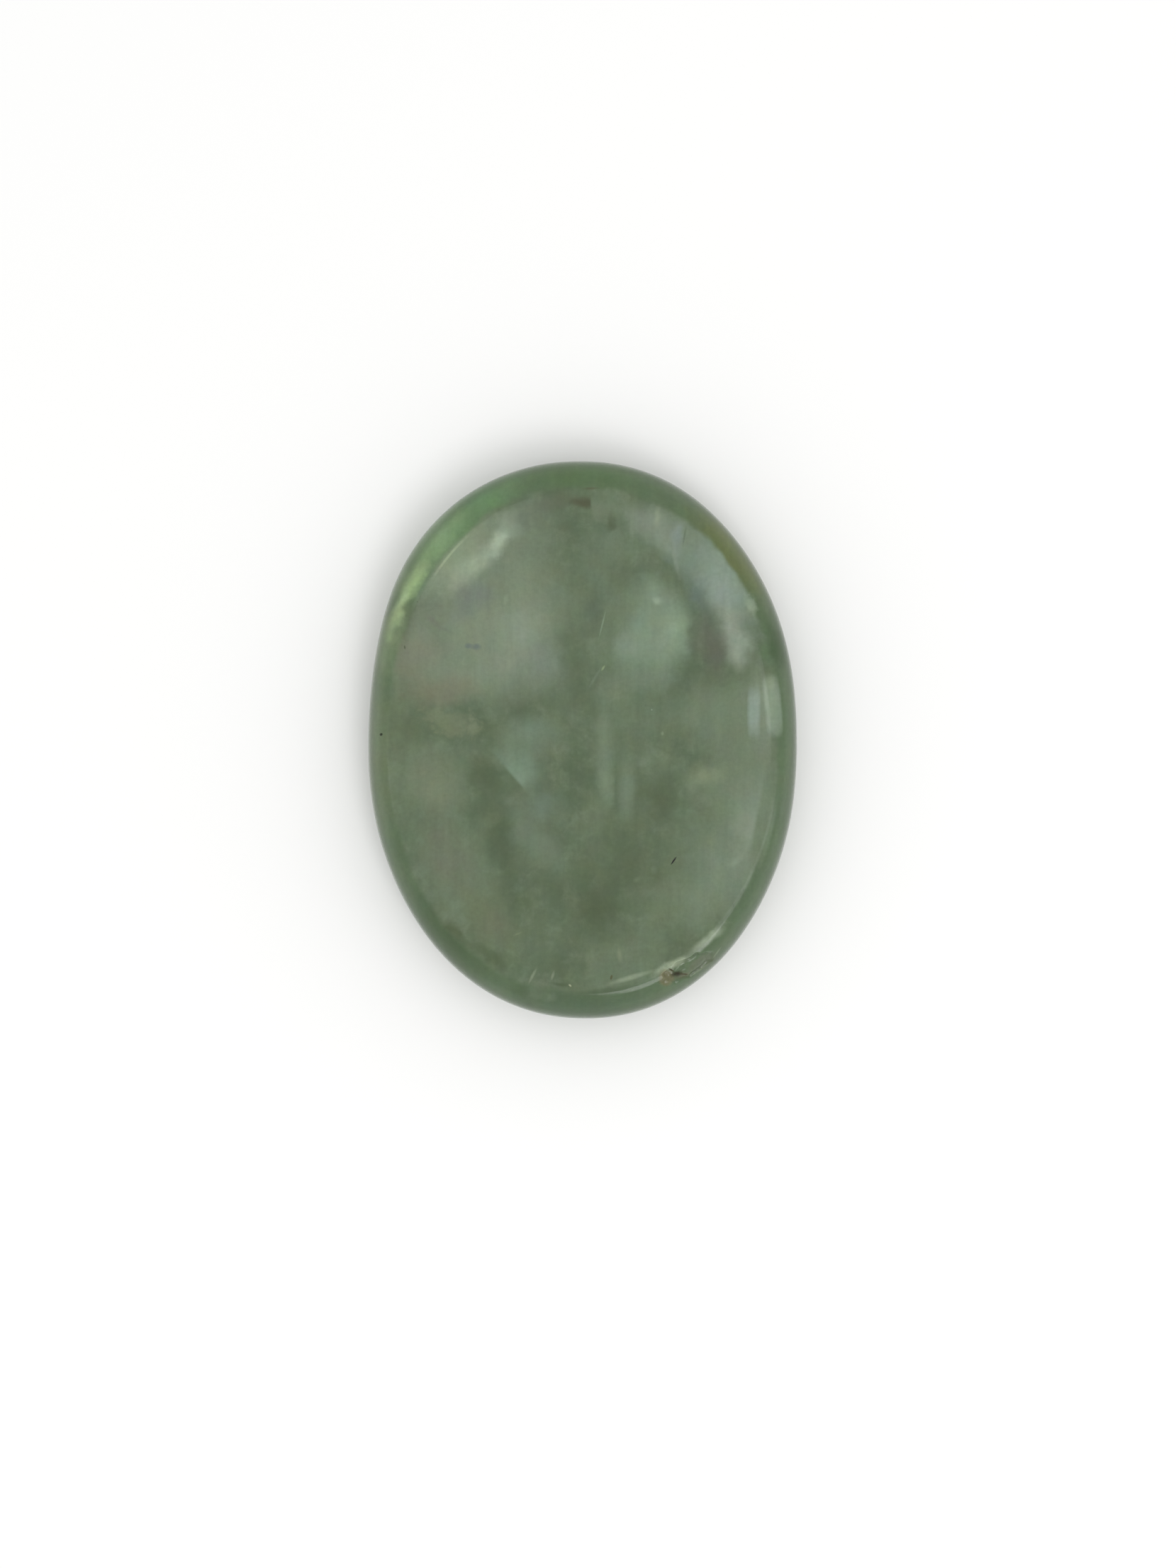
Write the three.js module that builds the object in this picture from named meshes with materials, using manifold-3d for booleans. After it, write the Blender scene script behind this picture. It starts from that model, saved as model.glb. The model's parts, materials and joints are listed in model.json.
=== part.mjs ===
// Worry stone: one polished oval of pale green crystal with a shallow hollow
// ground into its upper face for a thumb, and a small flake scar on its shoulder.
// Units are millimetres. +Z is up, and the long axis lies along Y.
// The origin is the middle of the flat spot that the stone rests on.
import * as THREE from "three";
import { mergeVertices } from "three/addons/utils/BufferGeometryUtils.js";
import Module from "manifold-3d";

const wasm = await Module();
wasm.setup();

// Plan: an oval a little fuller than an ellipse
const halfWidth = 17.3;
const halfLength = 22.5;
const ovalPower = 2.14;
// What hand grinding left of the true oval: lobes round the edge, with the
// height of each in millimetres and the direction of one of its peaks in degrees
const edgeWander = [
  { lobes: 2, height: 0.15, turn: -40 },
  { lobes: 3, height: 0.075, turn: 13 },
  { lobes: 4, height: 0.05, turn: 27 },
  { lobes: 5, height: 0.065, turn: -15 },
  { lobes: 6, height: 0.037, turn: 21 },
  { lobes: 7, height: 0.028, turn: -23 },
];

// Section: shares are parts of the way from the middle to the edge
const waistHeight = 3.4; // where the stone is widest
const crownHeight = 3.75; // of the blank above its waist, before the hollow was ground
const shoulderShare = 0.81; // where the upper face starts to round over
const shoulderPower = 2.15;
const undersideShare = 0.42; // where the underside starts to curve up
const undersidePower = 2.2;

// The thumb hollow is a shallow dish that meets the shoulder in a soft lip
const lipShare = 0.93;
const hollowFloor = 5.15; // height of its lowest point above the base
const hollowRise = 1.62; // from there to the lip
const hollowPower = 2.15;
const hollowShift = { x: 0.25, y: 0.2 };
const lipSoftness = 0.5;

// The flake scar, a long shallow chip along the lip at its lower right
const flake = { x: 8.4, y: -18.25, length: 4.9, width: 1.6, depth: 0.2, turn: 27 };
const shoulderSlope = 33; // degrees that the shoulder falls outward under the flake

// Faces of the mesh
const gridSteps = 26; // along each edge of the box that the stone is cast from
const roundedTurn = 41; // degrees of latitude that each rounded stretch takes up
const flakeDetail = 2; // times that an icosahedron is split to make the flake
const weldDistance = 1e-4; // corners closer than this are one corner

const radians = THREE.MathUtils.degToRad;

function edgeRadius(angle) {
  const oval =
    (Math.abs(Math.cos(angle) / halfWidth) ** ovalPower +
      Math.abs(Math.sin(angle) / halfLength) ** ovalPower) **
    (-1 / ovalPower);
  return edgeWander.reduce(
    (radius, { lobes, height, turn }) => radius + height * Math.cos(lobes * (angle - radians(turn))),
    oval,
  );
}

// A stretch that rounds over by a quarter turn, from the waist at 0 to its flat end at 1
function quarterRound(share, power, flatShare) {
  const turn = (share * Math.PI) / 2;
  return {
    outward: flatShare + (1 - flatShare) * Math.cos(turn) ** (2 / power),
    rise: Math.sin(turn) ** (2 / power),
  };
}

// Where a latitude, from 0 at the waist to 90 in the middle, falls on one half of the section
function sectionPoint(latitude, power, flatShare) {
  if (latitude < roundedTurn) return quarterRound(latitude / roundedTurn, power, flatShare);
  return { outward: (flatShare * (90 - latitude)) / (90 - roundedTurn), rise: 1 };
}

// The lower of two heights, with the corner between them rounded
function softMin(a, b, softness) {
  const overlap = Math.max(softness - Math.abs(a - b), 0) / softness;
  return Math.min(a, b) - (overlap * overlap * softness) / 4;
}

function hollowHeight(x, y) {
  const share = Math.hypot(
    (x - hollowShift.x) / (lipShare * halfWidth),
    (y - hollowShift.y) / (lipShare * halfLength),
  );
  return hollowFloor + hollowRise * share ** hollowPower;
}

// Carries a point of the unit sphere to the stone's surface
function toStone(point) {
  const latitude = THREE.MathUtils.radToDeg(Math.asin(THREE.MathUtils.clamp(point.z, -1, 1)));
  const around = Math.atan2(point.y * halfLength, point.x * halfWidth);
  const above = latitude >= 0;
  const { outward, rise } = above
    ? sectionPoint(latitude, shoulderPower, shoulderShare)
    : sectionPoint(-latitude, undersidePower, undersideShare);
  const radius = outward * edgeRadius(around);
  point.x = radius * Math.cos(around);
  point.y = radius * Math.sin(around);
  if (above) {
    const blank = waistHeight + crownHeight * rise;
    point.z = softMin(blank, hollowHeight(point.x, point.y), lipSoftness);
  } else {
    point.z = waistHeight * (1 - rise);
  }
}

// The polished blank with its hollow: a gridded box, rounded to a sphere and cast to shape
function polishedStone() {
  const side = 2;
  const geometry = new THREE.BoxGeometry(side, side, side, gridSteps, gridSteps, gridSteps);
  const place = geometry.getAttribute("position");
  const point = new THREE.Vector3();
  const evenly = (value) => Math.tan((value * Math.PI) / 4); // spaces the grid by equal angles
  for (let i = 0; i < place.count; i++) {
    point.fromBufferAttribute(place, i);
    point.set(evenly(point.x), evenly(point.y), evenly(point.z)).normalize();
    toStone(point);
    place.setXYZ(i, point.x, point.y, point.z);
  }
  return geometry;
}

// The piece that broke away, as a low pebble that lies along the shoulder's slope
function flakeCutter() {
  const geometry = new THREE.IcosahedronGeometry(1, flakeDetail);
  geometry.scale(flake.length / 2, flake.width / 2, flake.depth);
  const outward = new THREE.Vector3(flake.x / halfWidth ** 2, flake.y / halfLength ** 2, 0);
  const level = new THREE.Vector3(-outward.y, outward.x, 0).normalize();
  geometry.rotateZ(radians(flake.turn));
  geometry.applyQuaternion(new THREE.Quaternion().setFromAxisAngle(level, radians(shoulderSlope)));
  geometry.translate(flake.x, flake.y, flakeHeight());
  return geometry;
}

// The height of the polished surface over the middle of the flake
function flakeHeight() {
  const down = new THREE.Raycaster(
    new THREE.Vector3(flake.x, flake.y, 2 * (waistHeight + crownHeight)),
    new THREE.Vector3(0, 0, -1),
  );
  return down.intersectObject(new THREE.Mesh(polishedStone()))[0].point.z;
}

function toSolid(geometry) {
  const bare = geometry.clone();
  bare.deleteAttribute("normal");
  bare.deleteAttribute("uv");
  const merged = mergeVertices(bare, weldDistance);
  return new wasm.Manifold(
    new wasm.Mesh({
      numProp: 3,
      vertProperties: new Float32Array(merged.getAttribute("position").array),
      triVerts: new Uint32Array(merged.index.array),
    }),
  );
}

function toGeometry(solid) {
  const { vertProperties, triVerts } = solid.getMesh();
  const geometry = new THREE.BufferGeometry();
  geometry.setAttribute("position", new THREE.BufferAttribute(vertProperties, 3));
  geometry.setIndex(new THREE.BufferAttribute(triVerts, 1));
  geometry.computeVertexNormals();
  return geometry;
}

// Centres the plan on the origin, because the wandering edge shifts it a little
function centred(geometry) {
  geometry.computeBoundingBox();
  const { min, max } = geometry.boundingBox;
  return geometry.translate(-(min.x + max.x) / 2, -(min.y + max.y) / 2, -min.z);
}

const stoneMaterial = new THREE.MeshStandardMaterial({
  name: "polished_crystal",
  color: 0x6e7b65,
  roughness: 0.12,
  metalness: 0,
});

const chipped = toSolid(polishedStone()).subtract(toSolid(flakeCutter()));
const stone = new THREE.Mesh(centred(toGeometry(chipped)), stoneMaterial);
stone.name = "worry_stone";

const part = new THREE.Group();
part.add(stone);

export default part;
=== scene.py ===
# Crystal worry stone: one polished oval of cloudy green fluorite with a thumb hollow.
# Lengths in the dictionaries are millimetres unless a note says otherwise.
import json
import math

import bpy
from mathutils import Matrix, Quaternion, Vector, noise

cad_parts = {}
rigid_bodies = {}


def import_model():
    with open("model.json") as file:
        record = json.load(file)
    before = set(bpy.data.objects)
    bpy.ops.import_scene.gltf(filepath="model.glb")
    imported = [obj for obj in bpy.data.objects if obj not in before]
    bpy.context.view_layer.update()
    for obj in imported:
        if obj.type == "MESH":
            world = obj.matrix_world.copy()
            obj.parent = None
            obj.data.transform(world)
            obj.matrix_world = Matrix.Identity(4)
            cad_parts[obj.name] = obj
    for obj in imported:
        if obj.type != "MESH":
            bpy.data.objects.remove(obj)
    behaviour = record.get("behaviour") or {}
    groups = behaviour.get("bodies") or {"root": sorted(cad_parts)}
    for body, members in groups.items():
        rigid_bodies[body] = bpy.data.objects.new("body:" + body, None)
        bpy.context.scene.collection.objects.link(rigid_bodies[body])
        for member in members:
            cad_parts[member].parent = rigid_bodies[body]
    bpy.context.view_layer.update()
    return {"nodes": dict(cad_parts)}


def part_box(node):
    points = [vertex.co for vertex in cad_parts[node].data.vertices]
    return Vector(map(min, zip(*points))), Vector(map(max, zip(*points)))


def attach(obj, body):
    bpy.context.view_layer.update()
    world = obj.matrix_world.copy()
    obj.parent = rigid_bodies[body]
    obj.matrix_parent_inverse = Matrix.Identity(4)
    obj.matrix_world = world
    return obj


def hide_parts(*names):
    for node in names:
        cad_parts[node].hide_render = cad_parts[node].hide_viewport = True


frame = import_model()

mm = 0.001
nodeLow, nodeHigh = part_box("worry_stone")
print("frame loaded:", sorted(frame["nodes"]))


# Small helpers

def hexColor(code, alpha=1.0):
    # sRGB hex to the linear values that the shader sockets take
    def toLinear(value):
        return value / 12.92 if value <= 0.04045 else ((value + 0.055) / 1.055) ** 2.4
    channels = [int(code[i:i + 2], 16) / 255 for i in (1, 3, 5)]
    return (*[toLinear(value) for value in channels], alpha)


def addNode(tree, kind, settings=None, inputs=None, take=None):
    # settings are the node's own properties; an input is a value or another node's output;
    # take names the output to hand back
    node = tree.nodes.new(kind)
    for name, value in (settings or {}).items():
        setattr(node, name, value)
    for name, value in (inputs or {}).items():
        socket = node.inputs[name]
        if isinstance(value, bpy.types.NodeSocket):
            tree.links.new(value, socket)
        else:
            socket.default_value = value
    return node if take is None else node.outputs[take]


def deselectAll():
    for other in bpy.context.view_layer.objects:
        other.select_set(False)


def selectOnly(piece):
    deselectAll()
    piece.select_set(True)
    bpy.context.view_layer.objects.active = piece


def unitClamp(value):
    return min(max(value, 0.0), 1.0)


# The stone's shape, in the words of its section: shares run from the middle to the edge
stoneShape = {
    "halfWidth": (nodeHigh.x - nodeLow.x) / 2 / mm,
    "halfLength": (nodeHigh.y - nodeLow.y) / 2 / mm,
    "ovalPower": 2.14,
    "edgeWander": [  # (lobes, height, degrees to a peak)
        (2, 0.15, -40),
        (3, 0.075, 13),
        (4, 0.05, 27),
        (5, 0.065, -15),
        (6, 0.037, 21),
        (7, 0.028, -23),
    ],
    "waistHeight": 3.4,
    "crownHeight": 3.75,
    "shoulderShare": 0.81,
    "shoulderPower": 2.15,
    "undersideShare": 0.42,
    "undersidePower": 2.2,
    "lipShare": 0.93,
    "hollowFloor": 5.15,
    "hollowRise": 1.62,
    "hollowPower": 2.15,
    "hollowShift": (0.25, 0.2),
    "lipSoftness": 0.5,
    "roundedTurn": 41,  # degrees of latitude that each rounded stretch takes up
    "cuts": 105,  # along each edge of the cube that the stone starts from
    "waves": [  # (height, length) of what hand polishing leaves, along the surface normal
        (0.030, 9.0),
        (0.008, 3.2),
    ],
    "levelHeight": 0.5,  # below this the waves die out, so that the resting spot stays level
    "sharpestBend": 38,  # degrees; faces that meet more sharply than this keep an edge
}


def edgeRadius(angle):
    shape = stoneShape
    power = shape["ovalPower"]
    across = abs(math.cos(angle) / shape["halfWidth"]) ** power
    along = abs(math.sin(angle) / shape["halfLength"]) ** power
    radius = (across + along) ** (-1 / power)
    for lobes, height, turn in shape["edgeWander"]:
        radius += height * math.cos(lobes * (angle - math.radians(turn)))
    return radius


def quarterRound(share, power, flatShare):
    turn = share * math.pi / 2
    outward = flatShare + (1 - flatShare) * math.cos(turn) ** (2 / power)
    return outward, math.sin(turn) ** (2 / power)


def sectionPoint(latitude, power, flatShare):
    rounded = stoneShape["roundedTurn"]
    if latitude < rounded:
        return quarterRound(latitude / rounded, power, flatShare)
    return flatShare * (90 - latitude) / (90 - rounded), 1.0


def softMin(a, b, softness):
    overlap = max(softness - abs(a - b), 0) / softness
    return min(a, b) - overlap * overlap * softness / 4


def hollowHeight(x, y):
    shape = stoneShape
    shiftX, shiftY = shape["hollowShift"]
    share = math.hypot(
        (x - shiftX) / (shape["lipShare"] * shape["halfWidth"]),
        (y - shiftY) / (shape["lipShare"] * shape["halfLength"]),
    )
    return shape["hollowFloor"] + shape["hollowRise"] * share ** shape["hollowPower"]


def toStone(direction):
    # carries a direction from the stone's middle to a point of its surface
    shape = stoneShape
    latitude = math.degrees(math.asin(max(-1.0, min(1.0, direction.z))))
    around = math.atan2(direction.y * shape["halfLength"], direction.x * shape["halfWidth"])
    if latitude >= 0:
        outward, rise = sectionPoint(latitude, shape["shoulderPower"], shape["shoulderShare"])
    else:
        outward, rise = sectionPoint(-latitude, shape["undersidePower"], shape["undersideShare"])
    radius = outward * edgeRadius(around)
    x, y = radius * math.cos(around), radius * math.sin(around)
    if latitude >= 0:
        blank = shape["waistHeight"] + shape["crownHeight"] * rise
        z = softMin(blank, hollowHeight(x, y), shape["lipSoftness"])
    else:
        z = shape["waistHeight"] * (1 - rise)
    return Vector((x, y, z))


def matchBox(mesh, low, high):
    # lays the mesh in the frame's own box, corner to corner
    for axis in range(3):
        places = [v.co[axis] for v in mesh.vertices]
        first, last = min(places), max(places)
        stretch = (high[axis] - low[axis]) / (last - first)
        for v in mesh.vertices:
            v.co[axis] = low[axis] + (v.co[axis] - first) * stretch


# The flake scar: a shallow shell-like break on the lip at the lower right
flakeScar = {
    "at": (8.4, -18.25),
    "half": (2.45, 0.8),
    "turn": 27,  # degrees from +X
    "depth": 0.13,
    "edge": 0.22,  # share of the half size over which its wall falls
    "margin": 1.5,  # how far the finer faces reach, in half sizes
    "cuts": 3,
    "ragged": 0.3,  # how far its outline strays, in half sizes
    "raggedDensity": 1.7,  # bumps to a millimetre
    "ringHeight": 0.25,  # the shell-like rings of its floor, as a share of its depth
    "ringTurns": 7,  # radians to a half size
    "bumpHeight": 0.3,  # the uneven floor, as a share of its depth
    "bumpDensity": 2.6,  # bumps to a millimetre
    "noiseLayers": (4.0, 9.0),  # heights in the noise for the outline and for the floor
}


def scarPlace(x, y, place):
    # a point in the scar's own measure: its edge is at a distance of 1
    turn = math.radians(place["turn"])
    dx, dy = x - place["at"][0], y - place["at"][1]
    along = (dx * math.cos(turn) + dy * math.sin(turn)) / place["half"][0]
    across = (-dx * math.sin(turn) + dy * math.cos(turn)) / place["half"][1]
    return along, across


def refineAt(piece, place):
    # splits the faces round the scar so that its broken edge can be modelled
    selectOnly(piece)
    bpy.ops.object.mode_set(mode="EDIT")
    bpy.ops.mesh.select_all(action="DESELECT")
    bpy.ops.object.mode_set(mode="OBJECT")
    for face in piece.data.polygons:
        x, y, z = face.center / mm
        along, across = scarPlace(x, y, place)
        face.select = z > stoneShape["waistHeight"] and math.hypot(along, across) < place["margin"]
    bpy.ops.object.mode_set(mode="EDIT")
    bpy.ops.mesh.select_mode(type="FACE")
    bpy.ops.mesh.subdivide(number_cuts=place["cuts"])
    bpy.ops.object.mode_set(mode="OBJECT")


def breakFlake(piece, place):
    mesh = piece.data
    outlineLayer, floorLayer = place["noiseLayers"]
    normals = [v.normal.copy() for v in mesh.vertices]
    for v, normal in zip(mesh.vertices, normals):
        x, y, z = v.co / mm
        if z < stoneShape["waistHeight"]:
            continue
        along, across = scarPlace(x, y, place)
        reach = math.hypot(along, across)
        if reach > place["margin"]:
            continue
        outlineNoise = noise.noise(Vector((x, y, outlineLayer)) * place["raggedDensity"])
        floorNoise = noise.noise(Vector((x, y, floorLayer)) * place["bumpDensity"])
        reach += place["ragged"] * outlineNoise
        inside = unitClamp((1 - reach) / place["edge"])
        rings = place["ringHeight"] * math.cos(place["ringTurns"] * reach)
        ripple = 1 + rings + place["bumpHeight"] * floorNoise
        v.co -= normal * place["depth"] * mm * inside * inside * (3 - 2 * inside) * ripple
    mesh.update()


def makeStone():
    shape = stoneShape
    deselectAll()
    bpy.ops.mesh.primitive_cube_add(size=2, location=(0, 0, 0))
    piece = bpy.context.active_object
    piece.name = "polished_stone"
    bpy.ops.object.mode_set(mode="EDIT")
    bpy.ops.mesh.select_all(action="SELECT")
    bpy.ops.mesh.subdivide(number_cuts=shape["cuts"])
    bpy.ops.object.mode_set(mode="OBJECT")
    mesh = piece.data
    for v in mesh.vertices:
        even = Vector([math.tan(value * math.pi / 4) for value in v.co])  # equal angles
        v.co = toStone(even.normalized()) * mm
    matchBox(mesh, nodeLow, nodeHigh)
    mesh.update()
    print("stone cast:", len(mesh.polygons), "faces")

    normals = [v.normal.copy() for v in mesh.vertices]
    for v, normal in zip(mesh.vertices, normals):
        place = v.co / mm
        offset = sum(height * noise.noise(place / length) for height, length in shape["waves"])
        v.co += normal * offset * mm * unitClamp(place.z / shape["levelHeight"])
    mesh.update()

    refineAt(piece, flakeScar)
    breakFlake(piece, flakeScar)
    matchBox(mesh, nodeLow, nodeHigh)
    selectOnly(piece)
    bpy.ops.object.mode_set(mode="EDIT")
    bpy.ops.mesh.select_all(action="SELECT")
    bpy.ops.mesh.normals_make_consistent(inside=False)
    bpy.ops.object.mode_set(mode="OBJECT")
    bpy.ops.object.shade_smooth_by_angle(angle=math.radians(shape["sharpestBend"]))
    print("flake scar broken in:", sum(len(f.vertices) - 2 for f in mesh.polygons), "triangles")
    return piece


# Green fluorite: a soft, cloudy crystal, ground and then tumbled to a wet-looking gloss.
# It gives green depths with grey-beige and mint veils, a clearer and greener rim, and
# light that passes on through the thin edge. Its colour also holds painted reflections and
# highlights of the lamps, a painted glow on the rim and painted shade at the very edge.
crystal = {
    "deep": "#5D6B54",
    "pale": "#6B7962",
    "cloud": "#798770",
    "ior": 1.434,
    "roughness": 0.09,
    "transmission": 0.16,
    "rimTransmission": 0.26,
    "absorbColor": "#A6E0A8",
    "absorbDensity": 90,  # per metre
    "subsurface": 0.5,
    "scatter": 0.6,
    "scatterRatio": (1.0, 1.2, 0.9),  # green light goes farthest
    "drifts": [(5.0, 1.8), (1.2, 0.8)],  # (size, reach) of the noise that bends the veils
    "cloudSize": 6.5,
    "cloudRange": (0.36, 0.64),  # noise values that the clouds run between
    "mottleSize": 1.5,
    "mottleRange": (0.45, 0.75),
    "mottleAmount": 0.4,
    "wispSize": (0.8, 5.0, 5.0),
    "wispRange": (0.3, 0.7),
    "wispTone": (0.94, 1.06),
    "grainSize": 0.35,
    "grainRange": (0.25, 0.75),
    "grainTone": (0.93, 1.07),
    "tintSize": 1.8,
    "tintLow": (0.9, 0.95, 0.88),  # red, green and blue tones at a noise value of 0
    "tintSpread": (0.2, 0.1, 0.24),  # what a noise value of 1 adds to them
    "roughRange": (0.3, 0.7),
    "roughTone": (0.8, 1.4),
    "scratchSize": 0.22,
    "scratchDepth": 0.02,
    "scratchStrength": 0.12,
    "veilHeight": 6.0,  # the height that the veils are drawn at
    "reach": {"deep": 9.0, "near": 3.0},  # how far down the veils and the surface marks go
    "ragged": 0.5,  # how far the mottling frays an outline, in half sizes
}

# The colours of the clouds, veils, marks and rim are as seen through the polish. These values
# find the base colour under it: the gloss is the light that the polish adds, of 1, and the body
# is the share of its own colour that the stone gives back. The depth says how far down such a
# form reaches.
looks = {
    "veil": {"gloss": 0.026, "body": 0.79, "depth": "deep"},
    "mark": {"gloss": 0.026, "body": 0.79, "depth": "near"},
    "rim": {"gloss": 0.034, "body": 0.7, "depth": "deep"},
}
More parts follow.
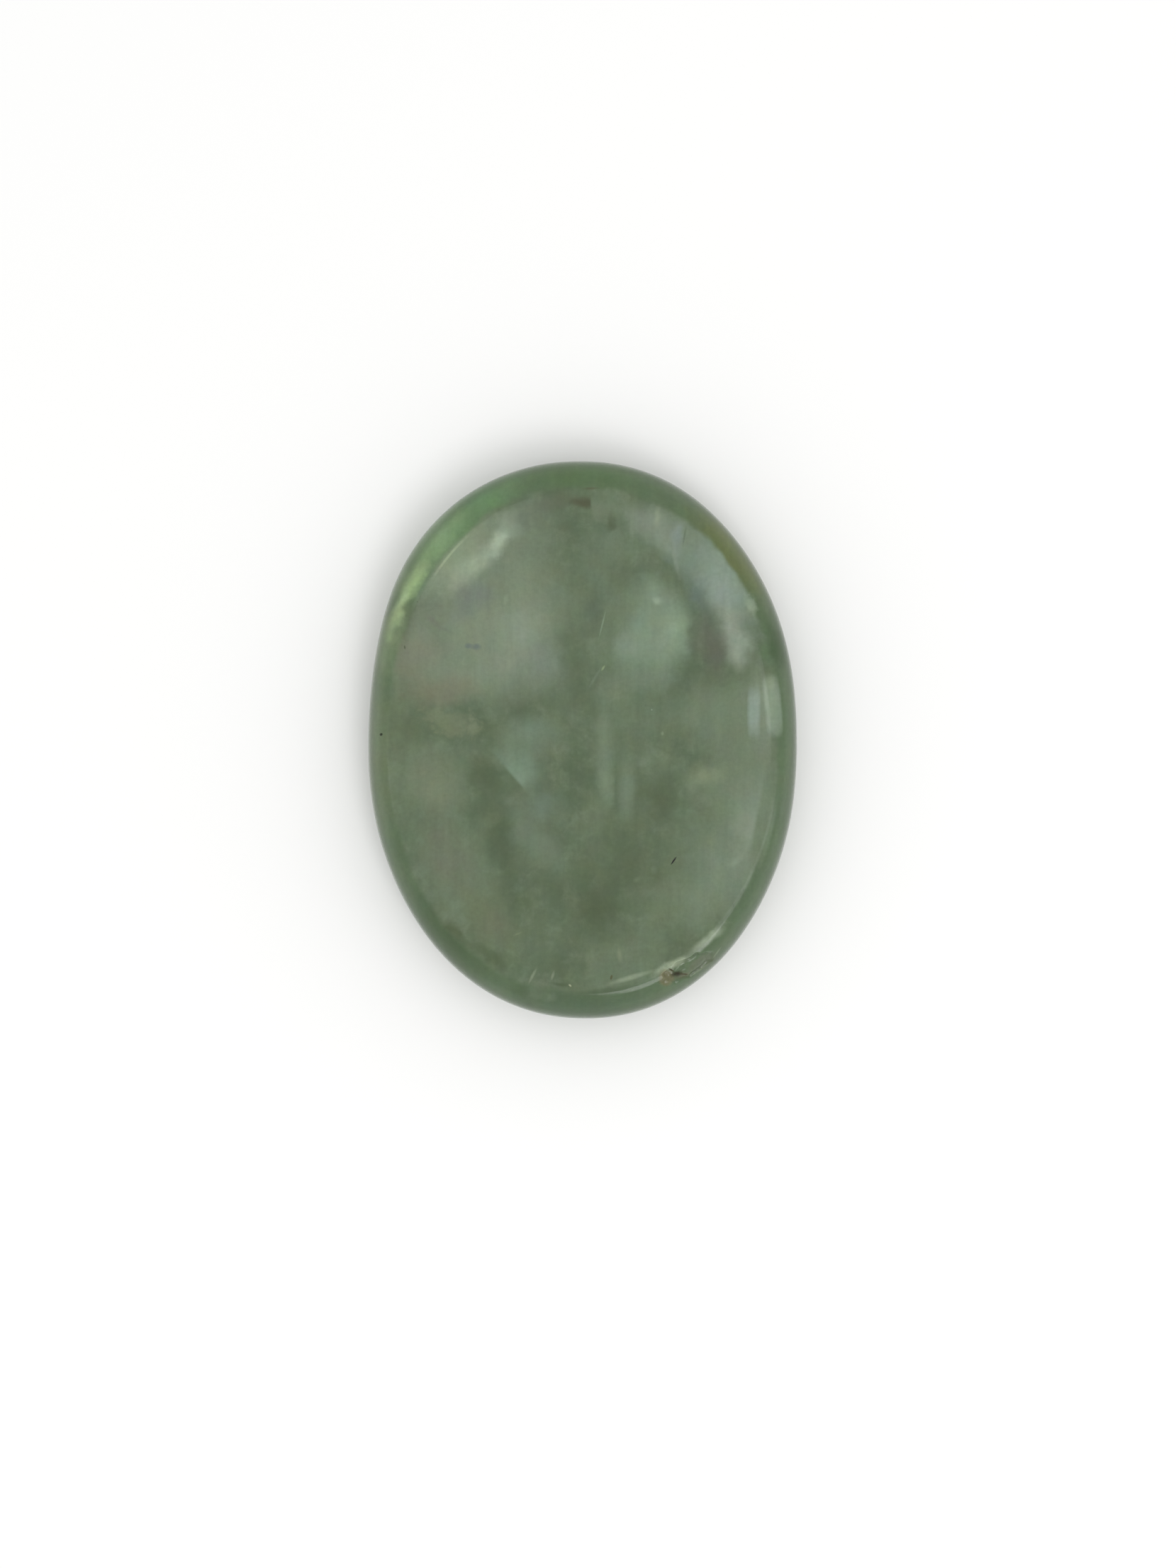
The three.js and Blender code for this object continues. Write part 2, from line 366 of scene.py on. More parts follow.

# Veils in the crystal, and among them painted reflections of the lamps on the hollow: the
# haze, the beige band and the lavender band. Each one's values are where it lies, its half
# sizes, its turn in degrees, its colour, how strong it is, and how much of it is soft edge.
# Some have rules more: "rough" frays the outline by that many times the usual; "square" gives
# it straight sides and blunt ends; "cut" keeps the side that its own y points to, over a soft
# width in half sizes, as a cleavage plane would; "band" keeps it to a share of the way to the
# edge, give or take a half width.
veilsAndReflections = {
    # upper left
    # painted reflection: the broad soft light over the upper left of the hollow, as a pale haze
    "reflected haze": ((-7.6, 9.0), (8.6, 7.2), 35, "#79866F", 0.8, 0.9),
    "reflected haze foot": ((-7.6, 5.0), (7.4, 2.8), 0, "#7A8772", 0.75, 0.9),
    "reflected haze heart": ((-4.7, 8.4), (3.4, 4.4), -20, "#818D7A", 0.9, 1.0),
    "reflected haze corner": ((-3.0, 5.8), (2.6, 3.2), -20, "#7A8676", 0.8, 1.0),
    "left brown": ((-13.6, 6.6), (3.0, 3.8), 0, "#797E69", 0.85, 0.9),
    "left brown foot": ((-11.0, 3.7), (4.8, 1.5), 8, "#777A64", 0.8, 0.9),
    "brown crack": ((-11.4, 9.0), (1.6, 0.5), -28, "#687060", 0.7, 1.0, {"rough": 3}),
    "grey purple": ((-8.8, 11.3), (3.0, 1.9), 42, "#6A7467", 0.85, 1.0, {"rough": 2}),
    # painted highlight: the key lamp's reflection along the upper left of the hollow, with its paler
    # fringe by the lip
    "lip grey": ((-10.2, 14.9), (5.4, 1.8), 50, "#7F8D73", 0.9, 0.8),
    "beige highlight band": ((-8.8, 14.1), (4.4, 1.6), 46, "#8D9A83", 0.95, 0.9),
    "beige highlight heart": ((-6.9, 16.0), (1.9, 1.2), 62, "#9DAB94", 0.9, 0.9, {"rough": 1.5}),
    "beige highlight tip": ((-5.8, 17.2), (1.7, 1.4), 50, "#87957F", 0.8, 1.0, {"rough": 1.5}),
    "small light": ((-6.3, 11.3), (0.4, 0.6), 0, "#7F8E76", 0.7, 0.9),
    # top
    "top shade": ((-3.8, 17.8), (3.6, 1.4), 14, "#626E5B", 0.75, 0.9),
    "plum shade top": ((-2.0, 19.0), (3.4, 0.9), 6, "#606A56", 0.85, 0.9),
    "plum top": ((0.65, 19.1), (0.8, 2.0), 90, "#565A47", 0.95, 0.9, {"cut": 0.1}),
    "olive middle": ((1.0, 13.5), (2.4, 5.0), -8, "#6C7A64", 0.7, 1.0),
    "top middle": ((2.6, 15.6), (1.7, 2.4), 0, "#717F6A", 0.7, 1.0),
    "top grey": ((0.9, 10.4), (1.3, 2.6), -8, "#5E6A59", 0.7, 1.0),
    "dark middle": ((-0.4, 6.4), (1.9, 6.4), -4, "#5E6C56", 0.85, 1.0),
    "smudge a": ((2.25, 17.4), (0.6, 1.2), -10, "#5A654F", 0.9, 0.9, {"rough": 3}),
    # upper right
    # painted reflection: the lavender band is a lamp reflected in the upper right of the hollow, drawn
    # with a sharp outer edge
    "lavender start": ((0.75, 18.5), (1.4, 6.0), -90, "#74806B", 0.6, 0.9, {"cut": 0.05}),
    "lavender top": ((5.8, 17.2), (3.8, 2.4), -24, "#7F8B7A", 0.9, 0.8),
    "lavender band": ((10.9, 13.1), (7.4, 3.3), -56, "#839282", 0.95, 0.85),
    "lavender heart": ((11.2, 11.6), (4.4, 2.0), -54, "#8B998D", 0.75, 1.0),
    "lavender foot": ((12.1, 8.0), (3.1, 1.55), -74, "#8D9887", 0.95, 0.75),
    "lavender blue": ((7.6, 16.4), (0.8, 1.5), -8, "#83918A", 0.7, 0.8),
    "lavender inner": ((6.9, 15.2), (2.6, 1.4), -35, "#859385", 0.8, 1.0),
    "notch": ((15.2, 7.0), (1.8, 1.6), 20, "#5F7356", 0.9, 0.7),
    "smudge c": ((6.9, 14.4), (0.8, 0.9), 15, "#6B7A69", 0.7, 1.0),
    "mint veil": ((5.9, 8.6), (3.6, 5.4), -6, "#7F907B", 0.95, 0.8),
    "mint left": ((4.0, 7.2), (1.8, 2.6), -14, "#81927E", 0.8, 1.0),
    "mint right": ((7.3, 8.8), (1.7, 3.0), -8, "#86977F", 0.8, 0.9),
    "mint top": ((5.6, 11.8), (1.2, 1.8), 0, "#7E907C", 0.7, 1.0),
    "mint spot": ((5.8, 11.1), (0.55, 0.5), 0, "#93A48F", 0.7, 1.0),
    "mint spot low": ((7.0, 8.8), (0.9, 0.8), 10, "#91A28C", 0.55, 1.0),
    "mint foot": ((4.6, 5.0), (3.4, 2.2), 0, "#73836F", 0.8, 1.0),
    "teal shade": ((9.2, 11.3), (1.2, 3.0), 28, "#65736A", 0.85, 1.0),
    "plum shade": ((9.7, 8.4), (2.1, 3.2), 12, "#66705F", 0.85, 1.0),
    "plum heart": ((10.5, 7.1), (1.8, 3.0), 8, "#63675A", 0.9, 1.0),
    # right
    "right light": ((13.2, -5.2), (4.8, 12.6), 0, "#75836D", 0.85, 0.9),
    "right pale": ((10.0, 2.2), (5.0, 3.8), 0, "#74826C", 0.85, 0.9),
    "yellow beige": ((10.0, -3.1), (2.4, 1.5), 2, "#7F8C71", 0.85, 1.0, {"rough": 2}),
    "right grey": ((13.8, -6.8), (4.8, 3.2), 79, "#84917F", 0.9, 0.9, {"cut": 0.14}),
    "right lower grey": ((11.2, -10.6), (4.6, 3.8), 40, "#7A8875", 0.85, 1.0),
    "right cloud": ((12.2, -10.0), (1.4, 0.6), 30, "#85947F", 0.65, 1.0, {"rough": 3}),
    # middle and left
    "blue patch": ((-5.9, -2.53), (3.1, 4.3), -48.7, "#72836F", 0.9, 0.7, {"cut": 0.1}),
    "blue heart": ((-5.35, -3.15), (1.8, 2.2), -48.7, "#7C8F7C", 0.8, 1.0, {"cut": 0.12}),
    "blue fold": ((-4.6, 0.7), (3.8, 2.0), 0, "#74846F", 0.9, 1.0),
    "blue foot": ((-3.2, -5.4), (2.4, 2.6), 0, "#70806F", 0.7, 1.0),
    "middle right": ((5.0, 2.0), (4.0, 2.8), 0, "#6D7C65", 0.7, 1.0),
    "left olive": ((-14.6, 1.0), (2.2, 2.8), 0, "#657159", 0.7, 0.8),
    "beige patch": ((-10.6, 1.4), (2.8, 1.3), -16, "#747E65", 0.8, 0.6, {"rough": 5}),
    "beige patch end": ((-8.9, 0.8), (0.6, 0.9), -10, "#78836A", 0.6, 0.8, {"rough": 3}),
    "pinkish": ((-11.6, -3.9), (3.2, 3.6), 15, "#7A836B", 0.85, 1.0),
    "dark left": ((-7.8, -2.6), (2.0, 2.2), 35, "#58654D", 0.9, 1.0),
    "dark left low": ((-6.2, -8.2), (2.1, 7.2), 10, "#57644D", 0.9, 1.0),
    "pale band": ((-3.4, -8.4), (1.7, 4.8), 35, "#6F7D69", 0.85, 0.9),
    "dark right": ((6.2, -4.5), (2.4, 3.6), 0, "#5A6750", 0.9, 0.9),
    "dark low": ((3.4, -9.6), (5.4, 6.0), 0, "#5A674F", 0.85, 1.0),
    # foot
    "low pink": ((-10.8, -9.6), (3.0, 5.6), 28, "#6F7763", 0.85, 0.9),
    "foot beige": ((-7.4, -14.4), (4.6, 2.6), -40, "#6C755D", 0.85, 1.0),
    "dark foot": ((1.1, -14.0), (4.3, 3.6), 0, "#56624B", 0.9, 1.0),
    "foot right": ((8.6, -13.0), (3.9, 3.4), 25, "#7A8871", 0.8, 1.0),
    "low lip shade": ((-10.4, -15.3), (2.5, 0.7), -46, "#535F46", 0.8, 1.0, {"rough": 1.5}),
    "low lip shade b": ((-7.6, -17.4), (2.6, 0.7), -33, "#56624A", 0.75, 1.0, {"rough": 1.5}),
}

# Strokes and small marks, on the surface or just under it, with clear outlines; some are
# painted highlights, glints and reflections of the lamps
strokes = {
    # soft upright streaks
    "stroke a": ((3.95, 16.9), (0.3, 1.7), 0, "#7C8874", 0.55, 1.0),
    "stroke b": ((5.95, 17.7), (0.4, 1.4), -8, "#8B9781", 0.7, 1.0),
    "stroke d": ((7.45, 14.3), (0.3, 1.7), 12, "#848F80", 0.55, 1.0),
    "sliver": ((8.15, 16.3), (0.14, 1.0), -9, "#667362", 0.75, 0.8),
    # painted reflection: the bright tip of the lavender band
    "lavender tip": ((13.45, 10.7), (0.75, 1.3), 24, "#8B9984", 0.9, 0.6, {"rough": 3}),
    # painted reflection: a window seen in the polish at the right, as two pale bars split by a darker
    # gap
    "window reflection a": ((13.7, 2.2), (0.62, 2.4), 0, "#87978A", 0.85, 0.9, {"square": True}),
    "window reflection b": ((15.2, 2.7), (0.78, 2.75), 5, "#869581", 0.95, 0.7, {"square": True}),
    "window reflection gap": ((14.4, 2.9), (0.2, 2.3), 2, "#72816C", 0.7, 0.9),
    "feather": ((1.7, -1.2), (1.2, 6.0), 0, "#798872", 0.8, 1.0),
    "feather low": ((2.0, -3.7), (0.9, 2.9), 2, "#7C8B73", 0.7, 1.0, {"rough": 2}),
    "feather side": ((3.5, -3.8), (1.1, 3.8), 0, "#7A8976", 0.75, 1.0),
    "feather gap": ((2.68, -3.6), (0.15, 2.6), 0, "#62715B", 0.6, 0.8),
    "feather curl": ((0.95, 4.9), (0.16, 1.5), -31, "#76856F", 0.5, 0.9),
    "light thread": ((1.6, 9.3), (0.09, 1.5), -14, "#80917A", 0.7, 0.7),
    # painted glint
    "spark": ((1.65, 5.75), (0.12, 0.34), -32, "#8E9D79", 0.8, 0.7),
    # the lip: painted highlights along its crest
    # painted highlight: a thin light line along the upper left crest
    "lip light": ((-10.7, 14.7), (2.8, 2.0), 50, "#97A486", 0.75, 0.8, {"band": (0.878, 0.007)}),
    "lip dark": ((-13.0, 11.9), (2.4, 1.4), 57, "#72836A", 0.7, 0.8, {"band": (0.895, 0.01)}),
    # painted highlight: the crescent that the key lamp makes along the lower right of the lip, drawn as
    # a pale band
    "crescent highlight low": ((3.9, -19.0), (2.6, 0.3), 17, "#8D9981", 0.8, 0.8),
    "crescent highlight": ((7.2, -17.95), (2.2, 0.5), 29, "#98A58D", 0.9, 0.8, {"rough": 3}),
    "crescent highlight high": ((10.0, -15.95), (2.9, 0.55), 38, "#909D86", 0.9, 0.9, {"rough": 3}),
    # specks and small lights
    "black speck": ((-16.1, 0.4), (0.16, 0.13), 20, "#343B2D", 1.0, 0.5),
    "brown speck": ((2.3, -19.0), (0.12, 0.26), -15, "#57553C", 0.8, 0.6),
    "left speck": ((-14.2, 7.35), (0.08, 0.18), 10, "#505A43", 0.8, 0.6),
    "left speck b": ((-13.2, 11.0), (0.1, 0.1), 0, "#586350", 0.7, 0.7),
    "left speck c": ((-16.8, 4.4), (0.16, 0.1), 40, "#55634A", 0.7, 0.7),
    "dash": ((-9.15, 7.5), (0.5, 0.32), 0, "#64726A", 0.8, 0.8, {"rough": 3}),
    "dash end": ((-8.45, 7.45), (0.45, 0.34), 0, "#616F68", 0.8, 0.8, {"rough": 3}),
    "dark thread": ((7.3, -9.7), (0.48, 0.08), 55, "#282D21", 1.0, 0.6),
    "brown line": ((0.7, 20.05), (0.9, 0.14), 2, "#5C5C48", 0.6, 0.9),
    "light dot a": ((5.55, 2.4), (0.1, 0.12), 0, "#8FA087", 0.8, 0.7),
    "light dot b": ((6.4, 0.5), (0.18, 0.24), 0, "#84937B", 0.6, 0.8),
    "light dot d": ((4.35, -11.2), (0.5, 0.32), 20, "#74836A", 0.6, 1.0, {"rough": 3}),
    "light dot e": ((5.7, -10.4), (0.4, 0.5), 0, "#71806C", 0.5, 1.0, {"rough": 3}),
    "foot thread": ((2.95, -17.2), (0.32, 0.9), 8, "#818C72", 0.6, 0.9, {"rough": 3}),
    "foot streak": ((-4.0, -18.9), (0.95, 0.17), 63, "#87927A", 0.75, 0.8, {"rough": 3}),
    "foot streak b": ((-2.4, -18.9), (0.5, 0.16), 72, "#848E76", 0.7, 0.8, {"rough": 3}),
    "foot streak c": ((-5.2, -15.55), (0.5, 0.12), 22, "#7A8569", 0.6, 0.8),
    "foot shade": ((-1.9, -19.55), (1.3, 0.24), -8, "#4F5C44", 0.7, 0.9, {"rough": 2}),
    # painted glint
    "sparkle": ((-1.0, -19.65), (0.18, 0.1), -40, "#A8AD92", 0.8, 0.6),
    "pale scuff": ((-2.6, -20.6), (1.1, 0.6), 0, "#6F7F69", 0.7, 0.9, {"rough": 4}),
    "foot line": ((2.0, -20.05), (2.8, 0.4), 7, "#52604A", 0.7, 1.0),
}

# The scar is stained where dirt has settled, and dull on its freshly broken face
scarMarks = {
    "facet": ((9.5, -17.9), (1.9, 0.7), 33, "#6C7660", 0.95, 0.5, {"rough": 2}),
    "plate": ((6.7, -19.0), (0.75, 0.88), -15, "#757558", 0.95, 0.5, {"rough": 2}),
    "stain halo": ((8.0, -18.85), (1.1, 0.5), 8, "#65644A", 0.7, 1.0, {"rough": 2}),
    "stain": ((7.55, -18.7), (0.6, 0.34), 8, "#3B3A24", 1.0, 0.8, {"rough": 5}),
    "stain leg a": ((7.1, -18.42), (0.4, 0.08), -28, "#47442C", 0.9, 0.6),
    "stain leg b": ((8.15, -18.78), (0.42, 0.09), -4, "#47442C", 0.9, 0.6),
    "pale edge": ((9.4, -18.45), (1.1, 0.1), 36, "#8A967C", 0.7, 0.8),
    "pale edge b": ((10.75, -17.1), (0.8, 0.1), 54, "#8A967C", 0.6, 0.8),
}

# The rim is clearer and greener than the hollow, with zones of its own along the edge, among
# them a painted glow at the upper left
rim = {"color": "#62725A", "start": 0.886, "end": 0.912}
rimZones = {
    "top": ((0.0, 22.0), (9.0, 3.0), 0, "#5F7454", 0.9, 0.9),
    "upper left": ((-9.0, 19.2), (6.8, 3.6), 34, "#6D8A66", 0.9, 0.9),
    "fresh": ((-12.3, 16.2), (4.8, 3.2), 50, "#839C77", 0.95, 0.9),
    "fresh low": ((-14.2, 12.6), (2.4, 3.2), -34, "#809471", 0.95, 0.9),
    "left fade": ((-16.0, 8.0), (2.8, 5.2), -12, "#7A886B", 0.95, 0.9),
    "left": ((-16.6, -1.2), (4.0, 9.0), 0, "#6E7B62", 0.95, 0.8),
    # painted light: a yellow-green glow where lamp light passes through the stone and gathers at the
    # upper left rim
    "painted glow": ((-13.5, 12.6), (2.8, 0.85), 57, "#97AB80", 0.95, 0.9),
    "painted glow low": ((-14.9, 10.1), (2.2, 0.75), 70, "#95A881", 0.9, 0.8),
    "painted glow heart": ((-14.4, 11.2), (1.0, 0.42), 64, "#A2B48C", 0.85, 1.0, {"rough": 2}),
    "painted glow end": ((-15.5, 8.2), (0.6, 0.4), 80, "#869874", 0.8, 0.8),
    "olive": ((12.2, 14.8), (2.6, 6.8), 40, "#6B7452", 0.95, 0.8),
    "right dark": ((15.7, 7.6), (1.3, 3.2), 17, "#4E5E46", 0.9, 0.9),
    "right": ((16.6, -5.0), (2.0, 7.0), 8, "#66755F", 0.8, 0.9),
    "low left": ((-11.0, -16.4), (7.6, 3.0), -54, "#56654E", 0.9, 0.8),
    "foot": ((0.0, -21.8), (8.0, 2.8), 0, "#576853", 0.85, 0.9),
    "foot left": ((-4.4, -20.4), (3.0, 1.6), -22, "#586750", 0.8, 0.9),
    "right inner": ((14.9, -7.0), (2.6, 9.0), 18, "#73826D", 0.85, 0.8, {"band": (0.905, 0.03)}),
    "foot scuff": ((-3.6, -20.2), (2.0, 1.0), -8, "#6B7A65", 0.5, 1.0, {"rough": 4}),
}

# Painted shade: the base colour darkens to a deep green towards the very edge, to hold down
# how bright the edge looks. This is a base colour, not one as seen.
edgeShade = {"color": "#3F5730", "start": 0.95, "end": 0.99, "amount": 0.5}

# A smooth step never leaves its range, and a clamp for each would overfill the shader
smoothStep = {"interpolation_type": "SMOOTHSTEP", "clamp": False}


def underPolish(code, look):
    # the base colour that looks like this one once the polish has added its own light
    red, green, blue, alpha = hexColor(code)
    return (*[max(value - look["gloss"], 0) / look["body"] for value in (red, green, blue)], alpha)


def driftOf(tree, place, size, reach, where):
    # moves a place by soft noise, so that no veil keeps a drawn edge
    swirl = addNode(tree, "ShaderNodeTexNoise", None,
                    {"Vector": place, "Scale": 1 / size, "Detail": 3}, "Color")
    shift = addNode(tree, "ShaderNodeVectorMath", {"operation": "SUBTRACT"},
                    {0: swirl, 1: (0.5, 0.5, 0.5)}, 0)
    return addNode(tree, "ShaderNodeVectorMath", {"operation": "MULTIPLY_ADD"},
                   {0: shift, 1: (reach, reach, reach), 2: where}, 0)


def shareOf(tree, place):
    # how far out a place lies on the oval, from 0 in the middle to 1 at the edge
    sides = addNode(tree, "ShaderNodeVectorMath", {"operation": "MULTIPLY"},
                    {0: place, 1: (1 / stoneShape["halfWidth"], 1 / stoneShape["halfLength"], 0)}, 0)
    sides = addNode(tree, "ShaderNodeVectorMath", {"operation": "ABSOLUTE"}, {0: sides}, 0)
    sides = addNode(tree, "ShaderNodeSeparateXYZ", None, {0: sides})
    powers = [addNode(tree, "ShaderNodeMath", {"operation": "POWER"},
                      {0: sides.outputs[axis], 1: stoneShape["ovalPower"]}, 0) for axis in ("X", "Y")]
    both = addNode(tree, "ShaderNodeMath", {"operation": "ADD"}, {0: powers[0], 1: powers[1]}, 0)
    return addNode(tree, "ShaderNodeMath", {"operation": "POWER"},
                   {0: both, 1: 1 / stoneShape["ovalPower"]}, 0)


def addVeil(tree, under, where, fields, look, veil):
    # one soft form over the colours under it; a Mix node takes its colours at 6 and 7
    at, half, turn, color, amount, soft, *more = veil
    rules = more[0] if more else {}
    cosine, sine = math.cos(math.radians(turn)), math.sin(math.radians(turn))
    alongSide = (cosine / half[0], sine / half[0], 0)
    acrossSide = (-sine / half[1], cosine / half[1], 0)

    off = addNode(tree, "ShaderNodeVectorMath", {"operation": "SUBTRACT"},
                  {0: where, 1: (*at, 0)}, 0)
    along, across = [addNode(tree, "ShaderNodeVectorMath", {"operation": "DOT_PRODUCT"},
                             {0: off, 1: side}, "Value") for side in (alongSide, acrossSide)]
    local = addNode(tree, "ShaderNodeCombineXYZ", None,
                    {"X": along, "Y": across, "Z": fields[look["depth"]]}, 0)
    if "square" in rules:
        local = addNode(tree, "ShaderNodeVectorMath", {"operation": "MULTIPLY"},
                        {0: local, 1: local}, 0)
    reach = addNode(tree, "ShaderNodeVectorMath", {"operation": "LENGTH"}, {0: local}, "Value")
    reach = addNode(tree, "ShaderNodeMath", {"operation": "MULTIPLY_ADD"},
                    {0: fields["ragged"], 1: rules.get("rough", 1), 2: reach}, 0)
    mask = addNode(tree, "ShaderNodeMapRange", smoothStep,
                   {"Value": reach, "From Min": 1.0, "From Max": 1.0 - soft, "To Max": amount}, 0)
    if "band" in rules:
        middle, width = rules["band"]
        fullWidth = width * 0.3  # the rest of the width is its soft edge
        off = addNode(tree, "ShaderNodeMath", {"operation": "SUBTRACT"},
                      {0: fields["share"], 1: middle}, 0)
        off = addNode(tree, "ShaderNodeMath", {"operation": "ABSOLUTE"}, {0: off}, 0)
        mask = addNode(tree, "ShaderNodeMapRange", smoothStep,
                       {"Value": off, "From Min": width, "From Max": fullWidth, "To Max": mask}, 0)
    if "cut" in rules:
        halfCut = rules["cut"] / 2
        off = addNode(tree, "ShaderNodeVectorMath", {"operation": "SUBTRACT"},
                      {0: fields["place"], 1: (*at, 0)}, 0)
        side = addNode(tree, "ShaderNodeVectorMath", {"operation": "DOT_PRODUCT"},
                       {0: off, 1: acrossSide}, "Value")
        mask = addNode(tree, "ShaderNodeMapRange", smoothStep,
                       {"Value": side, "From Min": -halfCut, "From Max": halfCut, "To Max": mask}, 0)
    return addNode(tree, "ShaderNodeMix", {"data_type": "RGBA"},
                   {0: mask, 6: under, 7: underPolish(color, look)}, 2)


def cloudyBody(tree, drift):
    # the clouds of the crystal itself, before its veils; also the noise that roughens them
    deep, pale, cloud = [underPolish(crystal[name], looks["veil"]) for name in ("deep", "pale", "cloud")]
    clouds = addNode(tree, "ShaderNodeTexNoise", None,
                     {"Vector": drift, "Scale": 1 / crystal["cloudSize"], "Detail": 4}, "Fac")
    low, high = crystal["cloudRange"]
    clouds = addNode(tree, "ShaderNodeMapRange", smoothStep,
                     {"Value": clouds, "From Min": low, "From Max": high}, 0)
    mottle = addNode(tree, "ShaderNodeTexNoise", None,
                     {"Vector": drift, "Scale": 1 / crystal["mottleSize"], "Detail": 4,
                      "Roughness": 0.6}, "Fac")
    low, high = crystal["mottleRange"]
    specks = addNode(tree, "ShaderNodeMapRange", smoothStep,
                     {"Value": mottle, "From Min": low, "From Max": high,
                      "To Max": crystal["mottleAmount"]}, 0)
    body = addNode(tree, "ShaderNodeMix", {"data_type": "RGBA"}, {0: clouds, 6: deep, 7: pale}, 2)
    body = addNode(tree, "ShaderNodeMix", {"data_type": "RGBA"}, {0: specks, 6: body, 7: cloud}, 2)
    return body, mottle


def rangeInputs(value, span, result):
    # what a Map Range node needs to carry one range to another
    return {"Value": value, "From Min": span[0], "From Max": span[1],
            "To Min": result[0], "To Max": result[1]}


def fineTone(tree, place, color):
    # soft upright wisps, and a fine mottling where the light catches tiny cleavage cracks
    stretched = addNode(tree, "ShaderNodeVectorMath", {"operation": "DIVIDE"},
                        {0: place, 1: crystal["wispSize"]}, 0)
    wisps = addNode(tree, "ShaderNodeTexNoise", None,
                    {"Vector": stretched, "Scale": 1.0, "Detail": 3, "Roughness": 0.6}, "Fac")
    wisps = addNode(tree, "ShaderNodeMapRange", None,
                    rangeInputs(wisps, crystal["wispRange"], crystal["wispTone"]), 0)
    grain = addNode(tree, "ShaderNodeTexNoise", None,
                    {"Vector": place, "Scale": 1 / crystal["grainSize"], "Detail": 3,
                     "Roughness": 0.6}, "Fac")
    grain = addNode(tree, "ShaderNodeMapRange", None,
                    rangeInputs(grain, crystal["grainRange"], crystal["grainTone"]), 0)
    tone = addNode(tree, "ShaderNodeMath", {"operation": "MULTIPLY"}, {0: wisps, 1: grain}, 0)
    tints = addNode(tree, "ShaderNodeTexNoise", None,
                    {"Vector": place, "Scale": 1 / crystal["tintSize"], "Detail": 3}, "Color")
    tints = addNode(tree, "ShaderNodeVectorMath", {"operation": "MULTIPLY_ADD"},
                    {0: tints, 1: crystal["tintSpread"], 2: crystal["tintLow"]}, 0)
    color = addNode(tree, "ShaderNodeVectorMath", {"operation": "MULTIPLY"}, {0: color, 1: tints}, 0)
    return addNode(tree, "ShaderNodeVectorMath", {"operation": "SCALE"}, {0: color, "Scale": tone}, 0)


def formFields(tree, place, mottle):
    # what all the veils and marks share: places, shares of the way out, fraying and depths
    ragged = addNode(tree, "ShaderNodeMath", {"operation": "MULTIPLY_ADD"},
                     {0: mottle, 1: crystal["ragged"], 2: -crystal["ragged"] / 2}, 0)
    fields = {"place": place, "share": shareOf(tree, place), "ragged": ragged}
    for depth, reach in crystal["reach"].items():
        height = addNode(tree, "ShaderNodeVectorMath", {"operation": "DOT_PRODUCT"},
                         {0: place, 1: (0, 0, 1 / reach)}, "Value")
        fields[depth] = addNode(tree, "ShaderNodeMath", {"operation": "SUBTRACT"},
                                {0: height, 1: crystal["veilHeight"] / reach}, 0)
    return fields


def stoneColor(tree, place):
    # the body with its veils, the rim round it, then the marks, the fine tone and the painted edge shade
    drift = place
    for size, reach in crystal["drifts"]:
        drift = driftOf(tree, place, size, reach, drift)
    body, mottle = cloudyBody(tree, drift)
    fields = formFields(tree, place, mottle)
    for veil in veilsAndReflections.values():
        body = addVeil(tree, body, drift, fields, looks["veil"], veil)

    edge = underPolish(rim["color"], looks["rim"])
    for zone in rimZones.values():
        edge = addVeil(tree, edge, drift, fields, looks["rim"], zone)
    halfway = addNode(tree, "ShaderNodeVectorMath", {"operation": "ADD"}, {0: place, 1: drift}, 0)
    halfway = addNode(tree, "ShaderNodeVectorMath", {"operation": "SCALE"},
                      {0: halfway, "Scale": 0.5}, 0)
    rimMask = addNode(tree, "ShaderNodeMapRange", smoothStep,
                      {"Value": shareOf(tree, halfway), "From Min": rim["start"],
                       "From Max": rim["end"]}, 0)
    rimMask = addNode(tree, "ShaderNodeMath", {"operation": "MAXIMUM", "use_clamp": True},
                      {0: rimMask, 1: 0.0}, 0)
    color = addNode(tree, "ShaderNodeMix", {"data_type": "RGBA"}, {0: rimMask, 6: body, 7: edge}, 2)
    for mark in (*strokes.values(), *scarMarks.values()):
        color = addVeil(tree, color, place, fields, looks["mark"], mark)
    color = fineTone(tree, place, color)
    # painted shade towards the very edge
    edgeShadeMask = addNode(tree, "ShaderNodeMapRange", smoothStep,
                       {"Value": fields["share"], "From Min": edgeShade["start"],
                        "From Max": edgeShade["end"], "To Max": edgeShade["amount"]}, 0)
    color = addNode(tree, "ShaderNodeMix", {"data_type": "RGBA"},
                    {0: edgeShadeMask, 6: color, 7: hexColor(edgeShade["color"])}, 2)
    return color, rimMask, mottle


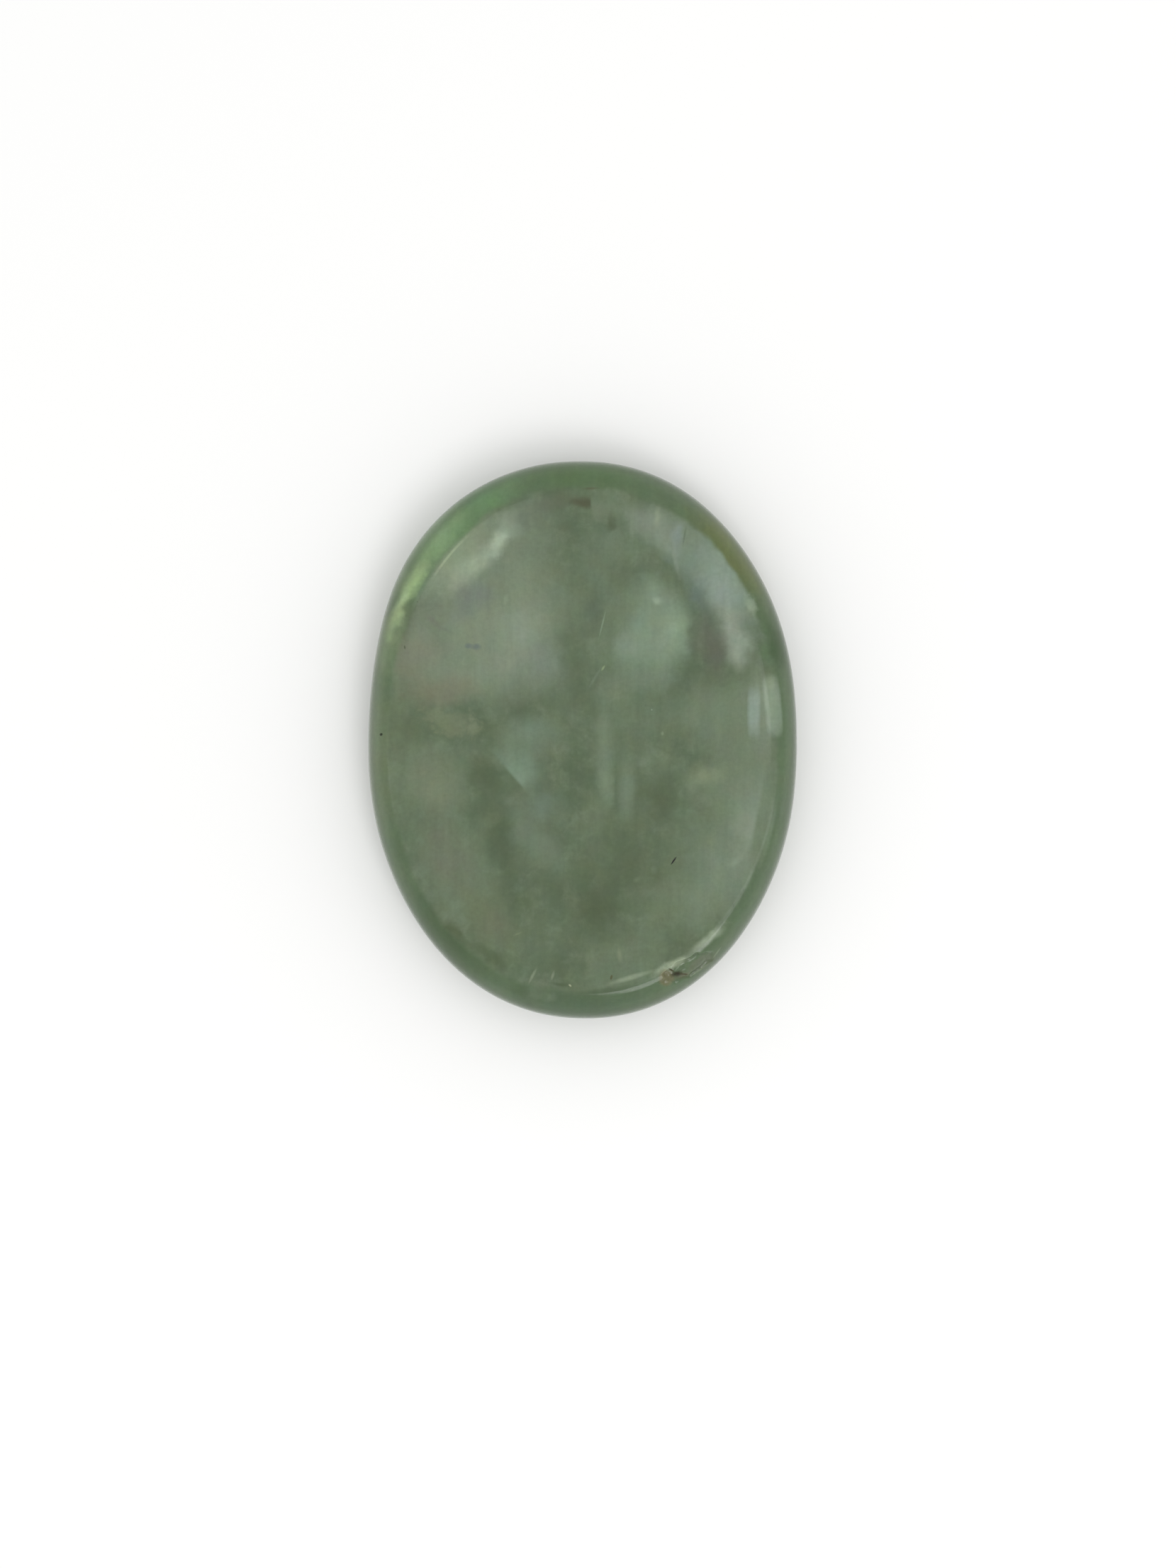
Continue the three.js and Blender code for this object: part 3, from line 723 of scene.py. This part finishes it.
def stoneMaterial():
    material = bpy.data.materials.new("polished green fluorite")
    material.use_nodes = True
    tree = material.node_tree
    tree.nodes.clear()

    coords = addNode(tree, "ShaderNodeTexCoord")
    place = addNode(tree, "ShaderNodeVectorMath", {"operation": "SCALE"},
                    {0: coords.outputs["Object"], "Scale": 1 / mm}, 0)
    color, rimMask, mottle = stoneColor(tree, place)

    transmission = addNode(tree, "ShaderNodeMapRange", None,
                           {"Value": rimMask, "To Min": crystal["transmission"],
                            "To Max": crystal["rimTransmission"]}, 0)
    roughTones = [crystal["roughness"] * tone for tone in crystal["roughTone"]]
    roughness = addNode(tree, "ShaderNodeMapRange", None,
                        rangeInputs(mottle, crystal["roughRange"], roughTones), 0)
    scratches = addNode(tree, "ShaderNodeTexNoise", None,
                        {"Vector": place, "Scale": 1 / crystal["scratchSize"], "Detail": 2,
                         "Roughness": 0.7}, "Fac")
    bump = addNode(tree, "ShaderNodeBump", None,
                   {"Strength": crystal["scratchStrength"],
                    "Distance": crystal["scratchDepth"] * mm, "Height": scratches}, "Normal")

    shader = addNode(tree, "ShaderNodeBsdfPrincipled", {"subsurface_method": "RANDOM_WALK"},
                     {"Base Color": color, "Roughness": roughness, "IOR": crystal["ior"],
                      "Transmission Weight": transmission,
                      "Subsurface Weight": crystal["subsurface"],
                      "Subsurface Radius": crystal["scatterRatio"],
                      "Subsurface Scale": crystal["scatter"] * mm,
                      "Normal": bump}, "BSDF")
    depth = addNode(tree, "ShaderNodeVolumeAbsorption", None,
                    {"Color": hexColor(crystal["absorbColor"]),
                     "Density": crystal["absorbDensity"]}, "Volume")
    addNode(tree, "ShaderNodeOutputMaterial", None, {"Surface": shader, "Volume": depth})
    return material


# The photograph's view: straight down on the stone, the stone a little above the middle
photoView = {
    "frameWidth": 1659,
    "frameHeight": 2212,
    "stoneMiddle": (821.9, 1043.8),  # pixels from the frame's top left
    "stoneLength": 785.6,  # pixels
    "lens": 85,
    "sensor": 36,
    "clip": (10, 10000),
}


def addCamera():
    view = photoView
    scale = 2 * stoneShape["halfLength"] / view["stoneLength"]  # millimetres to a pixel
    halfFrame = view["frameHeight"] * scale / 2
    distance = halfFrame / (view["sensor"] / 2 / view["lens"])
    x = (view["frameWidth"] / 2 - view["stoneMiddle"][0]) * scale
    y = (view["stoneMiddle"][1] - view["frameHeight"] / 2) * scale
    data = bpy.data.cameras.new("photo view")
    data.lens = view["lens"]
    data.sensor_width = view["sensor"]
    data.clip_start, data.clip_end = [reach * mm for reach in view["clip"]]
    camera = bpy.data.objects.new("photo view", data)
    bpy.context.scene.collection.objects.link(camera)
    camera.location = Vector((x, y, stoneShape["waistHeight"] + distance)) * mm
    bpy.context.scene.camera = camera
    return camera


# Lights, each placed by the direction that it shines from: azimuth from +X, tilt from straight
# up, and a roll about that direction. The fade is the share of its face that dims to the edge.
lights = {
    # name: azimuth, tilt, roll, distance, (width, height), brightness (1 is white paper), fade
    "overhead panel": (-36, 14.8, 0, 420, (160, 120), 1.0, 0.35),
    "key": (-62, 31, 28, 420, (170, 190), 3.4, 0.3),
    "window": (184, 17.5, 0, 420, (14, 36), 3.0, 0.2),
}
world = {"color": "#FFFFFF", "strength": 0.9}


def fadeLamp(data, fade):
    # dims a lamp softly towards its edges, as a diffuser does
    data.use_nodes = True
    tree = data.node_tree
    emission = tree.nodes["Emission"]
    across = addNode(tree, "ShaderNodeNewGeometry", None, None, "Parametric")
    # from 0 to 1 across the face, then from 0 in the middle to 1 at each side
    middle = addNode(tree, "ShaderNodeVectorMath", {"operation": "MULTIPLY_ADD"},
                     {0: across, 1: (2, 2, 0), 2: (-1, -1, 0)}, 0)
    middle = addNode(tree, "ShaderNodeVectorMath", {"operation": "ABSOLUTE"}, {0: middle}, 0)
    sides = addNode(tree, "ShaderNodeSeparateXYZ", None, {0: middle})
    masks = [addNode(tree, "ShaderNodeMapRange", {"interpolation_type": "SMOOTHSTEP"},
                     {"Value": sides.outputs[axis], "From Min": 1.0, "From Max": 1.0 - fade}, 0)
             for axis in ("X", "Y")]
    strength = addNode(tree, "ShaderNodeMath", {"operation": "MULTIPLY"},
                       {0: masks[0], 1: masks[1]}, 0)
    tree.links.new(strength, emission.inputs["Strength"])


def addLights():
    for name, (azimuth, tilt, roll, distance, size, brightness, fade) in lights.items():
        data = bpy.data.lights.new(name, "AREA")
        data.shape = "RECTANGLE"
        data.size, data.size_y = size[0] * mm, size[1] * mm
        data.energy = brightness * math.pi * data.size * data.size_y
        fadeLamp(data, fade)
        lamp = bpy.data.objects.new(name, data)
        bpy.context.scene.collection.objects.link(lamp)
        around, down = math.radians(azimuth), math.radians(tilt)
        toward = Vector((math.sin(down) * math.cos(around), math.sin(down) * math.sin(around),
                         math.cos(down)))
        lamp.location = toward * distance * mm
        lamp.rotation_mode = "QUATERNION"
        lean = Vector((0, 0, 1)).rotation_difference(toward)
        lamp.rotation_quaternion = lean @ Quaternion((0, 0, 1), math.radians(roll))
        lamp.visible_camera = False
    surroundings = bpy.data.worlds.new("pale studio")
    surroundings.use_nodes = True
    background = surroundings.node_tree.nodes["Background"]
    background.inputs["Color"].default_value = hexColor(world["color"])
    background.inputs["Strength"].default_value = world["strength"]
    bpy.context.scene.world = surroundings


floorLook = {
    "size": 4000,
    "below": 0.05,  # a hair under the stone
    "color": "#FDFDFC",
    "roughness": 0.9,
}


def addFloor():
    deselectAll()
    bpy.ops.mesh.primitive_plane_add(size=floorLook["size"] * mm,
                                     location=(0, 0, -floorLook["below"] * mm))
    floor = bpy.context.active_object
    floor.name = "floor"
    material = bpy.data.materials.new("white matte board")
    material.use_nodes = True
    shader = material.node_tree.nodes["Principled BSDF"]
    shader.inputs["Base Color"].default_value = hexColor(floorLook["color"])
    shader.inputs["Roughness"].default_value = floorLook["roughness"]
    shader.inputs["Specular IOR Level"].default_value = 0.0
    floor.data.materials.append(material)
    return floor


addCamera()
addLights()
addFloor()
print("camera, lights and floor placed")

stone = makeStone()
stone.data.materials.clear()
stone.data.materials.append(stoneMaterial())
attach(stone, "root")
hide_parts("worry_stone")
print("stone finished")

bpy.context.scene.view_settings.view_transform = "Standard"
